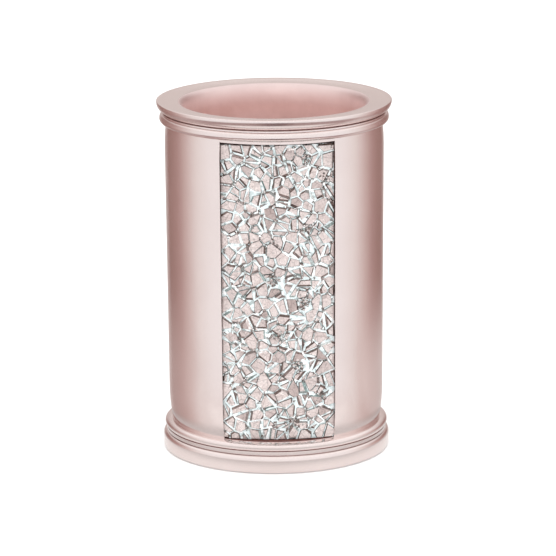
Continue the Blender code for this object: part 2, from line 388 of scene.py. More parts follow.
class Recipe(NodeBoard):
    """A material's nodes around its one shader, on the object's own coordinates."""

    def __init__(self, name: str, **values: float) -> None:
        """Starts a material that has only its shader and its output.

        Args:
            name: The material's name.
            values: Values for the shader's own sockets, with _ for each space of a socket's name.
        """
        self.material = bpy.data.materials.new(name)
        self.material.use_nodes = True
        super().__init__(self.material.node_tree)
        self.shader = self.tree.nodes["Principled BSDF"]
        for key, value in values.items():
            self.shader.inputs[key.replace("_", " ")].default_value = value
        self.place = self.add("TexCoord").outputs["Object"]

    def height(self) -> Socket:
        """The height above the table."""
        return self.axes(self.place)[2]

    def noise(self, scale: float, detail: float = 2.0, roughness: float = 0.5) -> Socket:
        """Fractal noise.

        Args:
            scale: Waves per metre.
            detail: Octaves.
            roughness: The weight of the finer octaves.

        Returns:
            The grey output.
        """
        node = self.add("TexNoise", Scale=scale, Detail=detail, Roughness=roughness)
        self.link(self.place, node.inputs["Vector"])
        return node.outputs["Fac"]

    def attribute(self, name: str) -> Socket:
        """A grey value stored on the piece's mesh.

        Args:
            name: The attribute's name.

        Returns:
            The grey output.
        """
        node = self.add("Attribute")
        node.attribute_name = name
        return node.outputs["Fac"]

    def cells(self, scale: float, output: str = "Color", feature: str = "F1") -> Socket:
        """Voronoi cells.

        Args:
            scale: Cells per metre.
            output: The output wanted.
            feature: The distance that the cells give.

        Returns:
            That output.
        """
        node = self.add("TexVoronoi")
        node.feature = feature
        node.inputs["Scale"].default_value = scale
        self.link(self.place, node.inputs["Vector"])
        return node.outputs[output]

    def bump(self, height: Socket, depth: float, strength: float, under: Socket | None = None) -> Socket:
        """A bump.

        Args:
            height: The grey height.
            depth: The height of a full white step, in metres.
            strength: Its share.
            under: A bump that this one lies on.

        Returns:
            The normal.
        """
        node = self.add("Bump", Distance=depth, Strength=strength)
        self.link(height, node.inputs["Height"])
        if under:
            self.link(under, node.inputs["Normal"])
        return node.outputs["Normal"]

    def finish(self, colour: Socket, roughness: Socket | None = None,
               normal: Socket | None = None) -> Material:
        """Joins what varies to the shader.

        Args:
            colour: The base colour.
            roughness: The roughness.
            normal: The normal.

        Returns:
            The finished material.
        """
        for source, name in ((colour, "Base Color"), (roughness, "Roughness"), (normal, "Normal")):
            if source:
                self.link(source, self.shader.inputs[name])
        return self.material


@dataclass(frozen=True)
class RoseSatin:
    """Rose metallic lacquer sprayed over cast resin: fine flake under a satin skin."""

    name: str = "rose_satin_lacquer"
    deep: Colour = (0.875, 0.76, 0.735)
    pale: Colour = (0.91, 0.80, 0.775)
    dull_flake: Colour = (0.965, 0.96, 0.96)
    gloss: Pair = (0.14, 0.19)
    flake_scale: float = 3200.0
    flake_depth: float = 0.0006 * MM
    mottle_scale: float = 38.0
    skin_scale: float = 260.0
    skin_depth: float = 0.004 * MM

    def make(self) -> Material:
        """Builds the material.

        Returns:
            The material.
        """
        recipe = Recipe(self.name, Metallic=0.94, Specular_IOR_Level=0.5, Coat_Weight=0.12,
                        Coat_Roughness=0.18)
        mottle = recipe.noise(self.mottle_scale, 5.0, 0.6)
        flake = recipe.noise(self.flake_scale, 1.0)
        tone = recipe.ramp(mottle, ((0.35, self.deep), (0.65, self.pale)))
        sparkle = recipe.ramp(flake, ((0.3, self.dull_flake), (0.7, WHITE)))
        colour = recipe.mix(recipe.spread(flake, 0.6, 1.0), tone, sparkle, "MULTIPLY")
        roughness = recipe.spread(recipe.noise(self.skin_scale, 4.0, 0.6), *self.gloss)
        skin = recipe.bump(recipe.noise(self.skin_scale, 3.0, 0.55), self.skin_depth, 0.5)
        return recipe.finish(colour, roughness, recipe.bump(flake, self.flake_depth, 0.4, skin))


@dataclass(frozen=True)
class CoralInside:
    """The inside of the cup: coral, turning to the rose lacquer at the rim, with painted shade that darkens
    it towards the floor.
    """

    rim: float
    name: str = "coral_inside"
    deep: Colour = (0.72, 0.445, 0.405)
    pale: Colour = (0.84, 0.555, 0.515)
    rose: Colour = (0.74, 0.585, 0.57)
    blush: Colour = (0.79, 0.635, 0.615)
    painted_shade_dark: Colour = (0.50, 0.345, 0.32)
    painted_shade_pale: Colour = (0.57, 0.40, 0.375)
    fade: float = 7.0 * MM
    painted_shade_fade: Pair = (3.4, 1.2)
    metal_fade: float = 0.7
    gloss_fade: float = 0.6
    lacquer_edge: float = 0.3 * MM
    gloss_edge: float = 0.2 * MM
    gloss: Pair = (0.52, 0.30)
    metal: Pair = (0.35, 0.85)
    mottle_scale: float = 70.0
    grain_scale: float = 2600.0
    grain_depth: float = 0.004 * MM

    def make(self) -> Material:
        """Builds the material.

        Returns:
            The material.
        """
        recipe = Recipe(self.name, Specular_IOR_Level=0.4)
        level = recipe.height()
        mottle = recipe.noise(self.mottle_scale, 5.0, 0.6)
        coral = recipe.ramp(mottle, ((0.35, self.deep), (0.65, self.pale)))
        painted_shade_dark = recipe.ramp(mottle, ((0.35, self.painted_shade_dark), (0.65, self.painted_shade_pale)))
        rose = recipe.ramp(mottle, ((0.35, self.rose), (0.65, self.blush)))
        # Painted shade: the coral turns darker and duller towards the floor of the cup.
        start, end = (self.rim - self.fade * share for share in self.painted_shade_fade)
        low = recipe.spread(level, 0.0, 1.0, start, end)
        top = self.rim - self.lacquer_edge
        thin = recipe.spread(level, 0.0, 1.0, self.rim - self.fade, top)
        colour = recipe.mix(thin, recipe.mix(low, painted_shade_dark, coral), rose)
        metal = recipe.spread(level, *self.metal, self.rim - self.fade * self.metal_fade, top)
        recipe.link(metal, recipe.shader.inputs["Metallic"])
        start, end = self.rim - self.fade * self.gloss_fade, self.rim - self.gloss_edge
        roughness = recipe.spread(level, *self.gloss, start, end)
        grain = recipe.noise(self.grain_scale, 2.0)
        return recipe.finish(colour, roughness, recipe.bump(grain, self.grain_depth, 0.6))


@dataclass(frozen=True)
class PaintedRecessShade:
    """Painted shade for recesses: a dark, rough brown-red that stands in for the shadow in the mosaic's
    pocket, and in a lighter tone in the grooves.
    """

    name: str = "painted_pocket_shade"
    dark: Colour = (0.075, 0.026, 0.022)
    pale: Colour = (0.19, 0.085, 0.075)
    gloss: Pair = (0.55, 0.8)
    shade_mottle_scale: float = 600.0
    shade_mottle_depth: float = 0.03 * MM

    def make(self) -> Material:
        """Builds the material.

        Returns:
            The material.
        """
        recipe = Recipe(self.name, Specular_IOR_Level=0.12)
        shade_mottle = recipe.noise(self.shade_mottle_scale, 4.0, 0.6)
        colour = recipe.ramp(shade_mottle, ((0.35, self.dark), (0.7, self.pale)))
        roughness = recipe.spread(shade_mottle, *self.gloss)
        return recipe.finish(colour, roughness, recipe.bump(shade_mottle, self.shade_mottle_depth, 0.6))


# Painted shade down in the grooves between the mouldings, lighter than the pocket's.
GROOVE_SHADE = PaintedRecessShade("painted_groove_shade", (0.26, 0.12, 0.105), (0.40, 0.23, 0.20))


@dataclass(frozen=True)
class MirrorFace:
    """The flat faces of the mirror chips: silvered glass with a blush, worn and faintly crazed."""

    name: str = "mirror_face"
    deep: Colour = (0.70, 0.59, 0.565)
    pale: Colour = (0.79, 0.69, 0.665)
    smoked: Colour = (0.62, 0.57, 0.56)
    worn: Colour = (0.52, 0.56, 0.56)
    bright: Colour = (1.3, 1.36, 1.36)
    crack: Colour = (0.50, 0.46, 0.45)
    gloss: Pair = (0.26, 0.42)
    cloud_scale: float = 420.0
    crack_scale: float = 330.0
    wear_scale: float = 1500.0
    skin_scale: float = 900.0
    wave_scale: float = 700.0
    wave_depth: float = 0.01 * MM

    def make(self) -> Material:
        """Builds the material.

        Returns:
            The material.
        """
        recipe = Recipe(self.name, Metallic=0.5, Coat_Weight=0.15, Coat_Roughness=0.08)
        cloud = recipe.noise(self.cloud_scale, 4.0, 0.6)
        colour = recipe.ramp(cloud, ((0.32, self.deep), (0.62, self.pale)))
        tone = recipe.ramp(recipe.attribute(Mosaic.TONE), ((0.0, self.smoked), (0.10, (0.80, 0.78, 0.78)),
                                                           (0.35, (0.95, 0.95, 0.95)), (1.0, WHITE)))
        colour = recipe.mix(recipe.spread(cloud, 0.95, 1.0), colour, tone, "MULTIPLY")
        crack = recipe.cells(self.crack_scale, "Distance", "DISTANCE_TO_EDGE")
        lined = recipe.ramp(crack, ((0.0, self.crack), (0.025, (0.82, 0.80, 0.80)), (0.05, WHITE)))
        colour = recipe.mix(recipe.spread(cloud, 0.4, 1.0), colour, lined, "MULTIPLY")
        wear = recipe.noise(self.wear_scale, 4.0, 0.75)
        spots = recipe.ramp(wear, ((0.36, self.worn), (0.45, (0.93, 0.93, 0.93)), (0.56, (1.02, 1.02, 1.02)),
                                   (0.66, self.bright)))
        colour = recipe.mix(recipe.spread(cloud, 0.5, 1.0), colour, spots, "MULTIPLY")
        roughness = recipe.spread(recipe.noise(self.skin_scale, 3.0), *self.gloss)
        wave = recipe.noise(self.wave_scale)
        return recipe.finish(colour, roughness, recipe.bump(wave, self.wave_depth, 0.5))


@dataclass(frozen=True)
class CutGlass:
    """A cut side of a chip, in a tone that the side's own value picks, with streaks along it: the tones are
    painted refraction, dark and light, and the streaks brighter than white are painted glints.
    """

    name: str
    refraction_tones: Stops
    glint_streaks: Stops
    metallic: float
    coat: Pair
    streak: tuple[float, float, float]
    streak_share: float
    skin_scale: float
    gloss: Pair
    relief: float
    streak_depth: float = 0.02 * MM

    def make(self) -> Material:
        """Builds the material.

        Returns:
            The material.
        """
        weight, roughness = self.coat
        recipe = Recipe(self.name, Metallic=self.metallic, Coat_Weight=weight, Coat_Roughness=roughness)
        plain = recipe.ramp(recipe.attribute(Mosaic.TONE), self.refraction_tones)
        streak = recipe.noise(*self.streak)
        lined = recipe.ramp(streak, self.glint_streaks)
        colour = recipe.mix(recipe.spread(streak, self.streak_share, 1.0), plain, lined, "MULTIPLY")
        roughness = recipe.spread(recipe.noise(self.skin_scale), *self.gloss)
        return recipe.finish(colour, roughness, recipe.bump(streak, self.streak_depth, self.relief))


# The cut sides: painted refraction, mostly dark grey-brown with a green cast, some light, with painted
# glints.
GLASS_FACET = CutGlass(
    "glass_facet",
    refraction_tones=((0.0, (0.13, 0.095, 0.085)), (0.40, (0.27, 0.225, 0.21)), (0.62, (0.30, 0.37, 0.36)),
           (0.80, (0.72, 0.72, 0.71)), (1.0, (0.80, 0.70, 0.67))),
    glint_streaks=((0.34, (0.55, 0.53, 0.53)), (0.54, WHITE), (0.68, (1.6, 1.65, 1.65))),
    metallic=0.55, coat=(0.4, 0.05), streak=(1500.0, 3.0, 0.65), streak_share=0.7,
    skin_scale=1200.0, gloss=(0.12, 0.32), relief=0.6)

# Some broad cut sides: darker painted refraction with a green cast and brighter painted glints.
DARK_FACET = CutGlass(
    "painted_dark_facet",
    refraction_tones=((0.0, (0.10, 0.062, 0.052)), (0.45, (0.24, 0.175, 0.16)), (0.70, (0.36, 0.31, 0.30)),
           (0.86, (0.16, 0.24, 0.23)), (1.0, (0.72, 0.72, 0.70))),
    glint_streaks=((0.34, (0.40, 0.38, 0.37)), (0.52, WHITE), (0.66, (2.0, 2.1, 2.1))),
    metallic=0.5, coat=(0.5, 0.04), streak=(2300.0, 3.0, 0.7), streak_share=0.75,
    skin_scale=1300.0, gloss=(0.10, 0.28), relief=0.5)


@dataclass(frozen=True)
class FrostBed:
    """The white setting bed between the chips: glass frit in clear size, with a cool glitter."""

    name: str = "frost_bed"
    white: Colour = (0.97, 0.985, 0.985)
    cool: Colour = (0.78, 0.87, 0.88)
    smoke: Colour = (0.40, 0.46, 0.46)
    seam: Colour = (0.62, 0.68, 0.69)
    gloss: Pair = (0.14, 0.35)
    frit_scale: float = 1050.0
    frit_depth: float = 0.05 * MM
    cloud_scale: float = 500.0

    def make(self) -> Material:
        """Builds the material.

        Returns:
            The material.
        """
        recipe = Recipe(self.name, Metallic=0.15, Specular_IOR_Level=0.6, Coat_Weight=0.2, Coat_Roughness=0.1)
        crumb = recipe.cells(self.frit_scale)
        colour = recipe.ramp(crumb, ((0.16, self.smoke), (0.30, self.cool), (0.55, self.cool),
                                     (0.66, self.white)))
        edge = recipe.cells(self.frit_scale, "Distance", "DISTANCE_TO_EDGE")
        lined = recipe.ramp(edge, ((0.0, self.seam), (0.10, WHITE)))
        cloud = recipe.spread(recipe.noise(self.cloud_scale), 0.3, 1.0)
        colour = recipe.mix(cloud, colour, lined, "MULTIPLY")
        frit = recipe.cells(self.frit_scale, "Distance")
        roughness = recipe.spread(frit, *self.gloss, 0.0, 0.8)
        return recipe.finish(colour, roughness, recipe.bump(frit, self.frit_depth, 0.6))


@dataclass(frozen=True)
class GreyFoam:
    """Closed-cell foam: dark grey, matt, with fine cells."""

    name: str = "grey_foam"
    dark: Colour = (0.20, 0.19, 0.19)
    pale: Colour = (0.36, 0.34, 0.34)
    gloss: Pair = (0.80, 0.97)
    cell_scale: float = 1900.0
    cell_depth: float = 0.12 * MM
    cloud_scale: float = 800.0

    def make(self) -> Material:
        """Builds the material.

        Returns:
            The material.
        """
        recipe = Recipe(self.name, Specular_IOR_Level=0.25)
        cells = recipe.cells(self.cell_scale, "Distance")
        colour = recipe.ramp(cells, ((0.0, self.dark), (0.55, self.pale)))
        roughness = recipe.spread(recipe.noise(self.cloud_scale, 3.0), *self.gloss)
        return recipe.finish(colour, roughness, recipe.bump(cells, self.cell_depth, 0.9))


@dataclass(frozen=True)
class PaleFloor:
    """The plain studio floor."""

    name: str = "pale_floor"
    dim: Colour = (0.93, 0.93, 0.93)
    light: Colour = (0.95, 0.95, 0.95)

    def make(self) -> Material:
        """Builds the material.

        Returns:
            The material.
        """
        recipe = Recipe(self.name, Roughness=0.9, Specular_IOR_Level=0.1)
        cloud = recipe.noise(3.0)
        return recipe.finish(recipe.ramp(cloud, ((0.3, self.dim), (0.7, self.light))))


# --------------------------------------------------------------------------- the cup


@dataclass
class Cup:
    """The cast cup: moulded lip, two beads, tapered body, foot, and the pocket for the mosaic."""

    height: float
    lip_radius: float
    foot_bottom: float
    body_top_radius: float = 35.45 * MM
    body_bottom_radius: float = 34.85 * MM
    foot_radius: float = 36.95 * MM
    columns: int = 256
    lip_dish: float = 0.55 * MM
    lip_rises: int = 5
    dish_curve: float = 1.6
    lip_edge: float = 0.3 * MM
    lip_edge_steps: int = 5
    ovolo: float = 3.4 * MM
    ovolo_turn: float = math.radians(66)
    ovolo_steps: int = 14
    mouth_radius: float = 28.5 * MM
    mouth_round: float = 2.6 * MM
    mouth_drop: float = 6.0 * MM
    mouth_steps: int = 22
    mouth_share: float = 0.96
    band_step: float = 0.3 * MM
    upper_band: float = 0.7 * MM
    lower_band: float = 1.55 * MM
    groove_depth: float = 0.36 * MM
    groove_height: float = 0.24 * MM
    groove_ease: float = 0.10 * MM
    groove_share: float = 0.6
    upper_bead_radius: float = 37.05 * MM
    upper_bead_height: float = 3.2 * MM
    lower_bead_radius: float = 36.35 * MM
    lower_bead_height: float = 2.45 * MM
    curve_steps: int = 10
    top_tuck: float = 0.48 * MM
    top_tuck_height: float = 8.0 * MM
    bottom_tuck: float = 0.85 * MM
    bottom_tuck_height: float = 11.0 * MM
    foot_band: float = 5.5 * MM
    shoulder: float = 1.6 * MM
    shoulder_root: float = 1.28 * MM
    foot_draft: float = 0.15 * MM
    foot_edge: float = 0.5 * MM
    foot_edge_steps: int = 6
    recess_top: float = 1.4 * MM
    recess_radius: float = 33.7 * MM
    floor_thickness: float = 5.0 * MM
    floor_rings: Pair = (8 * MM, 16 * MM)
    inner_bottom_radius: float = 27.0 * MM
    inner_corner: float = 4.0 * MM
    inner_rises: int = 24
    body_rows: int = 56
    pocket_columns: int = 22
    pocket_land: float = 0.1 * MM
    pocket_top_land: float = 0.8 * MM
    pocket_depth: float = 5.3 * MM
    pocket_flatten: float = 0.53
    pocket_round: float = 0.32 * MM
    pocket_margin: float = 0.3 * MM
    near: float = 0.1 * MM
    slack: float = 0.01 * MM
    angle_slack: float = 1e-4
    crease: float = 38.0

    def __post_init__(self) -> None:
        """Works out the sizes that follow from the others."""
        self.floor_top = self.recess_top + self.floor_thickness
        self.foot_band_top = self.foot_bottom + self.foot_band
        self.lower_bead_bottom = self.foot_band_top + self.lower_band
        self.lower_bead_top = self.lower_bead_bottom + self.lower_bead_height
        self.face_top = self.height - self.lip_edge
        self.rim_top = self.height - self.lip_dish
        self.lip_bottom = self.face_top - self.ovolo * math.sin(self.ovolo_turn)
        self.upper_bead_top = self.lip_bottom - self.upper_band
        self.upper_bead_bottom = self.upper_bead_top - self.upper_bead_height
        self.pocket_bottom = self.lower_bead_top + self.pocket_land
        self.pocket_top = self.upper_bead_bottom - self.pocket_top_land
        self.pocket_half = math.tau * self.pocket_columns / self.columns

    def body_radius(self, height: float) -> float:
        """The body's outer radius: a slight taper, tucked in at both ends.

        Args:
            height: Where it is wanted.

        Returns:
            The radius.
        """
        share = (height - self.lower_bead_top) / (self.upper_bead_bottom - self.lower_bead_top)
        radius = self.body_bottom_radius + (self.body_top_radius - self.body_bottom_radius) * share
        into_top = max(0.0, 1 - (self.upper_bead_bottom - height) / self.top_tuck_height)
        into_bottom = max(0.0, 1 - (height - self.lower_bead_top) / self.bottom_tuck_height)
        return radius - self.top_tuck * into_top**2 - self.bottom_tuck * into_bottom**2

    def bead(self, upper: float, lower: float, crest: float, top: float, bottom: float) -> list[Pair]:
        """A bead's face from its upper root over its crest to its lower root.

        Args:
            upper: The radius of its upper root.
            lower: The radius of its lower root.
            crest: The radius of its crest.
            top: The height of its upper root.
            bottom: The height of its lower root.

        Returns:
            The points.
        """
        middle, half = (top + bottom) / 2, (top - bottom) / 2
        over = arc((upper, middle), (crest - upper, half), math.pi / 2, 0, self.curve_steps)
        under = arc((lower, middle), (crest - lower, half), 0, -math.pi / 2, self.curve_steps)
        return over + under[1:]

    def groove(self, root: float, top: float) -> list[Pair]:
        """A fine square groove that sets one moulding off from the next.

        Args:
            root: The radius that it is cut into.
            top: The height of its upper side.

        Returns:
            The points, from the top down.
        """
        deep = root - self.groove_depth
        return [(deep, top), (deep, top - self.groove_height)]

    def inside(self) -> list[Pair]:
        """The inner floor, its rounded corner, the drafted wall and the rounded mouth.

        Returns:
            The points, from the axis outwards.
        """
        corner = (self.inner_bottom_radius - self.inner_corner, self.floor_top + self.inner_corner)
        mouth = (self.mouth_radius + self.mouth_round, self.rim_top - self.mouth_drop)
        points = [(radius, self.floor_top) for radius in (0.0, *self.floor_rings)]
        points += arc(corner, (self.inner_corner, self.inner_corner), -math.pi / 2, 0, self.curve_steps)
        low, high = points[-1], (mouth[0] - self.mouth_round, mouth[1])
        for share in (step / self.inner_rises for step in range(1, self.inner_rises)):
            points.append((low[0] + (high[0] - low[0]) * share, low[1] + (high[1] - low[1]) * share))
        rounded = arc(mouth, (self.mouth_round, self.mouth_drop), math.pi, math.pi / 2, self.mouth_steps)
        return points + rounded

    def lip(self) -> list[Pair]:
        """The dished top of the lip, its crisp edge, the quarter round and the thin band.

        Returns:
            The points, from the mouth outwards and down.
        """
        edge = (self.lip_radius - self.lip_edge, self.face_top)
        ovolo = (self.lip_radius - self.ovolo, self.face_top)
        mouth = self.mouth_radius + self.mouth_round
        points = []
        for share in (step / self.lip_rises for step in range(1, self.lip_rises)):
            rise = self.lip_dish * share**self.dish_curve
            points.append((mouth + (edge[0] - mouth) * share, self.rim_top + rise))
        points += arc(edge, (self.lip_edge, self.lip_edge), math.pi / 2, 0, self.lip_edge_steps)
        points += arc(ovolo, (self.ovolo, self.ovolo), 0, -self.ovolo_turn, self.ovolo_steps)[1:]
        band, top = points[-1][0] + self.band_step, self.lip_bottom - self.groove_height
        points += self.groove(points[-1][0], self.lip_bottom)
        points += [(band - self.groove_ease, top), (band, top - self.groove_ease)]
        return points + [(band, self.upper_bead_top)]

    def wall(self) -> list[Pair]:
        """The upper bead, the body and the lower bead.

        Returns:
            The points, from the top down.
        """
        root = self.lip_radius - self.ovolo * (1 - math.cos(self.ovolo_turn))
        points = self.bead(root, self.body_radius(self.upper_bead_bottom), self.upper_bead_radius,
                           self.upper_bead_top, self.upper_bead_bottom)
        span = self.pocket_top - self.pocket_bottom
        heights = [self.pocket_top - span * step / self.body_rows for step in range(self.body_rows)]
        points += [(self.body_radius(height), height) for height in (*heights, self.pocket_bottom)]
        lower_root = self.foot_radius - self.shoulder_root + self.band_step / 2
        return points + self.bead(self.body_radius(self.lower_bead_top), lower_root, self.lower_bead_radius,
                                  self.lower_bead_top, self.lower_bead_bottom)

    def foot(self) -> list[Pair]:
        """The thin band, the shoulder, the foot band and the recess for the pad.

        Returns:
            The points, from the top down and in to the axis.
        """
        root = self.foot_radius - self.shoulder_root
        shoulder = (root, self.foot_band_top - self.shoulder)
        bottom = (self.foot_radius - self.foot_draft - self.foot_edge, self.foot_bottom + self.foot_edge)
        band, band_top = root + self.band_step, self.lower_bead_bottom - self.groove_height
        groove_top = self.foot_band_top + self.groove_height
        points = self.groove(root + self.band_step / 2, self.lower_bead_bottom)
        points += [(band, band_top), (band, groove_top)]
        points += self.groove(root, groove_top)
        points += arc(shoulder, (self.foot_radius - root, self.shoulder), math.pi / 2, 0, self.curve_steps)
        points += arc(bottom, (self.foot_edge, self.foot_edge), 0, -math.pi / 2, self.foot_edge_steps)
        points += [(self.recess_radius, self.foot_bottom), (self.recess_radius, self.recess_top)]
        return points + [(self.floor_rings[1], self.recess_top), (0.0, self.recess_top)]

    def in_pocket(self, face: Face) -> bool:
        """Whether a face of the body lies within the pocket's outline.

        Args:
            face: A face of the open mesh.

        Returns:
            Whether it does.
        """
        middle = face.calc_center_median()
        outer = math.hypot(middle.x, middle.y) > (self.mouth_radius + self.body_bottom_radius) / 2
        return outer and abs(math.atan2(middle.x, -middle.y)) < self.pocket_half \
            and self.pocket_bottom < middle.z < self.pocket_top

    def on_long_edge(self, edge: Edge) -> bool:
        """Whether an edge runs up one side of the pocket's mouth.

        Args:
            edge: An edge of the open mesh.

        Returns:
            Whether it does.
        """
        for place in (vert.co for vert in edge.verts):
            aside = abs(math.atan2(place.x, -place.y)) - self.pocket_half
            proud = math.hypot(place.x, place.y) - self.body_radius(place.z)
            if abs(aside) > self.angle_slack or abs(proud) > self.slack:
                return False
            if not self.pocket_bottom - self.slack < place.z < self.pocket_top + self.slack:
                return False
        return abs(edge.verts[0].co.z - edge.verts[1].co.z) > self.slack

    def cut_pocket(self, cup: Thing) -> None:
        """Sinks the pocket into the front and rounds the two long edges of its mouth.

        Args:
            cup: The cup, open in edit mode.
        """
        pick(cup, Part.FACES, self.in_pocket)
        bpy.ops.mesh.extrude_region_move(TRANSFORM_OT_translate={"value": (0, self.pocket_depth, 0)})
        front = -self.body_top_radius + self.pocket_depth
        bpy.ops.transform.resize(value=(1, self.pocket_flatten, 1), center_override=(0, front, 0))
        LOG.info("pocket: %d edges rounded", pick(cup, Part.EDGES, self.on_long_edge))
        bpy.ops.mesh.bevel(offset=self.pocket_round, offset_type="OFFSET", segments=4, profile=0.5,
                           affect="EDGES", clamp_overlap=True)

    def is_inside(self, face: Face) -> bool:
        """Whether a face belongs to the inside of the cup, up to the rim of its mouth.

        Args:
            face: A face of the open mesh.

        Returns:
            Whether it does.
        """
        middle = face.calc_center_median()
        reach = self.mouth_radius + self.mouth_share * self.mouth_round
        return math.hypot(middle.x, middle.y) < reach and self.floor_top - self.near < middle.z < self.rim_top

    def is_pocket_shade(self, face: Face) -> bool:
        """Whether a face lies in the pocket, behind the rounded edge of its mouth.

        Args:
            face: A face of the open mesh.

        Returns:
            Whether it does.
        """
        middle = face.calc_center_median()
        inner, outer = self.mouth_radius + self.pocket_margin, self.body_radius(middle.z) - self.pocket_margin
        return middle.y < 0 and inner < math.hypot(middle.x, middle.y) < outer \
            and self.pocket_bottom - self.near < middle.z < self.pocket_top + self.near

    def is_groove(self, face: Face) -> bool:
        """Whether a face lies in the groove under the lip or under the lower bead.

        Args:
            face: A face of the open mesh.

        Returns:
            Whether it does.
        """
        middle = face.calc_center_median()
        for top, root in ((self.lip_bottom, self.lip_radius - self.ovolo * self.groove_share),
                          (self.lower_bead_bottom, self.foot_radius - self.shoulder_root)):
            inner = self.mouth_radius + self.mouth_round
            if top - self.groove_height < middle.z < top and math.hypot(middle.x, middle.y) > inner:
                return math.hypot(middle.x, middle.y) < root
        return False

    def build(self) -> None:
        """Models the cup, dresses it and hands it over."""
        profile = self.inside() + self.lip() + self.wall() + self.foot()
        line = [(radius, 0.0, height) for radius, height in profile]
        cup = sweep(line, "tumbler_cup", self.columns, math.tau)
        bpy.ops.mesh.normals_make_consistent(inside=False)
        self.cut_pocket(cup)
        close_edit()
        dress(cup, RoseSatin(), CoralInside(rim=self.rim_top), PaintedRecessShade(), GROOVE_SHADE)
        edit(cup)
        # Slot 1 is the inside; slots 2 and 3 are painted shade in the pocket and in the grooves.
        for index, wanted in ((1, self.is_inside), (2, self.is_pocket_shade), (3, self.is_groove)):
            LOG.info("finish %d: %d faces", index, pick(cup, Part.FACES, wanted))
            cup.active_material_index = index
            bpy.ops.object.material_slot_assign()
        close_edit()
        smooth(cup, self.crease)
        hand_over(cup, Slot.RESIN, "tumbler_body")


# --------------------------------------------------------------------------- the mosaic


